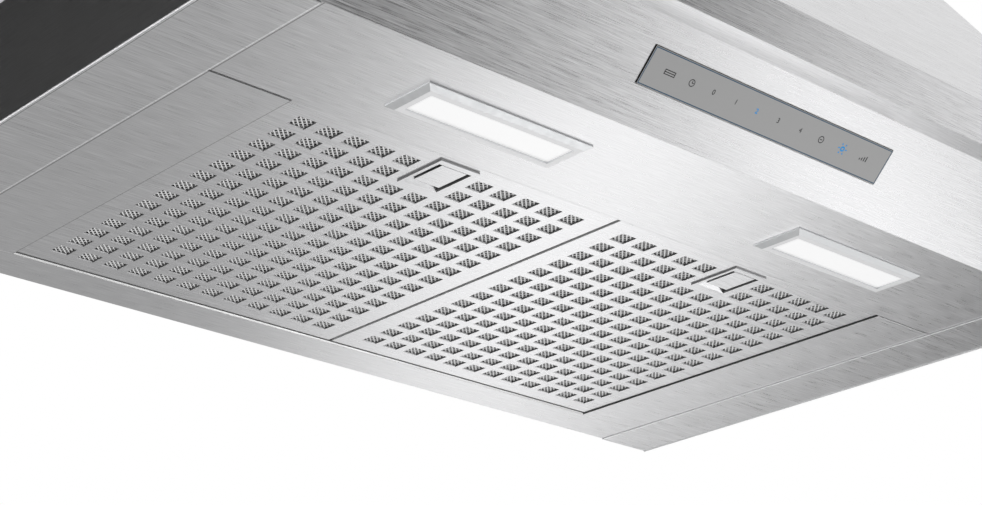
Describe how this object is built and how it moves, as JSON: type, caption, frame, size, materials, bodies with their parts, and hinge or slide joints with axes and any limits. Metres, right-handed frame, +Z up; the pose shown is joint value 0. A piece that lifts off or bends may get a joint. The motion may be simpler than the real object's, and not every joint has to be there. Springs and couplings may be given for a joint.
{
  "type": "wall mount range hood",
  "caption": "Wall mount pyramid range hood with drop-down mesh filters, lights, touch panel, blower and telescopic flue",
  "frame": {"origin": "centre of the four wall screw holes, on the wall plane", "axes": "+X to the right seen from the front, +Y into the wall, +Z up"},
  "size_m": [0.76, 0.5106, 0.8033],
  "materials": {
    "brushed_steel": "brushed along X",
    "filter_steel": "brushed along X",
    "filter_aluminium": "plain mill finish",
    "zinc_sheet": "zinc coated sheet",
    "spring_steel": "bright drawn",
    "motor_casing": "satin",
    "black_plastic": "matte",
    "light_frame_grey": "satin",
    "lens_white": "frosted",
    "touch_glass": "back-printed, opaque",
    "circuit_board": "lacquered"
  },
  "bodies": {
    "hood": {"left_side_panel": "brushed_steel", "right_side_panel": "brushed_steel", "front_panel": "brushed_steel", "left_filler_panel": "brushed_steel", "right_filler_panel": "brushed_steel", "rear_rail": "brushed_steel", "back_panel": "zinc_sheet", "canopy_front": "brushed_steel", "canopy_left": "brushed_steel", "canopy_right": "brushed_steel", "top_plate": "zinc_sheet", "lower_flue": "brushed_steel", "outlet_collar": "zinc_sheet", "blower_housing_left": "black_plastic", "blower_housing_right": "black_plastic", "motor": "motor_casing", "motor_bracket": "zinc_sheet", "touch_glass": "touch_glass", "touch_housing": "black_plastic", "touch_board": "circuit_board", "left_light_frame": "light_frame_grey", "left_light_lens": "lens_white", "left_led_tray": "zinc_sheet", "right_light_frame": "light_frame_grey", "right_light_lens": "lens_white", "right_led_tray": "zinc_sheet", "power_box": "zinc_sheet", "power_box_cover": "zinc_sheet", "power_board": "circuit_board", "cable_gland": "black_plastic"},
    "impeller": {"impeller": "black_plastic", "motor_shaft": "spring_steel"},
    "damper_front": {"damper_flap_front": "zinc_sheet"},
    "damper_rear": {"damper_flap_rear": "zinc_sheet"},
    "upper_flue": {"upper_flue": "brushed_steel", "flue_bracket": "zinc_sheet"},
    "left_filter": {"left_filter_face": "filter_steel", "left_filter_mesh": "filter_aluminium", "left_filter_frame": "filter_aluminium", "left_latch_bezel": "filter_steel", "left_latch_case": "zinc_sheet", "left_latch_spring": "spring_steel"},
    "left_latch": {"left_latch_pull": "filter_steel", "left_latch_carrier": "black_plastic"},
    "right_filter": {"right_filter_face": "filter_steel", "right_filter_mesh": "filter_aluminium", "right_filter_frame": "filter_aluminium", "right_latch_bezel": "filter_steel", "right_latch_case": "zinc_sheet", "right_latch_spring": "spring_steel"},
    "right_latch": {"right_latch_pull": "filter_steel", "right_latch_carrier": "black_plastic"}
  },
  "joints": [
    {"name": "left_filter_hinge", "type": "hinge", "parent": "hood", "child": "left_filter", "pos_m": [-0.13425, -0.043, -0.2278], "axis": [1, 0, 0], "range_deg": [0, 75]},
    {"name": "left_latch_slide", "type": "slide", "parent": "left_filter", "child": "left_latch", "axis": [0, 1, 0], "range_m": [0, 0.005], "stiffness_N_per_m": 300, "deforming": ["left_latch_spring"]},
    {"name": "right_filter_hinge", "type": "hinge", "parent": "hood", "child": "right_filter", "pos_m": [0.13425, -0.043, -0.2278], "axis": [1, 0, 0], "range_deg": [0, 75]},
    {"name": "right_latch_slide", "type": "slide", "parent": "right_filter", "child": "right_latch", "axis": [0, 1, 0], "range_m": [0, 0.005], "stiffness_N_per_m": 300, "deforming": ["right_latch_spring"]},
    {"name": "impeller_spin", "type": "hinge", "parent": "hood", "child": "impeller", "pos_m": [0, -0.215, 0.02], "axis": [1, 0, 0], "continuous": true},
    {"name": "damper_front_hinge", "type": "hinge", "parent": "hood", "child": "damper_front", "pos_m": [0, -0.145, 0.2519], "axis": [-1, 0, 0], "range_deg": [0, 80]},
    {"name": "damper_rear_hinge", "type": "hinge", "parent": "hood", "child": "damper_rear", "pos_m": [0, -0.135, 0.2519], "axis": [1, 0, 0], "range_deg": [0, 80]},
    {"name": "upper_flue_slide", "type": "slide", "parent": "hood", "child": "upper_flue", "axis": [0, 0, 1], "range_m": [0, 0.25]}
  ]
}
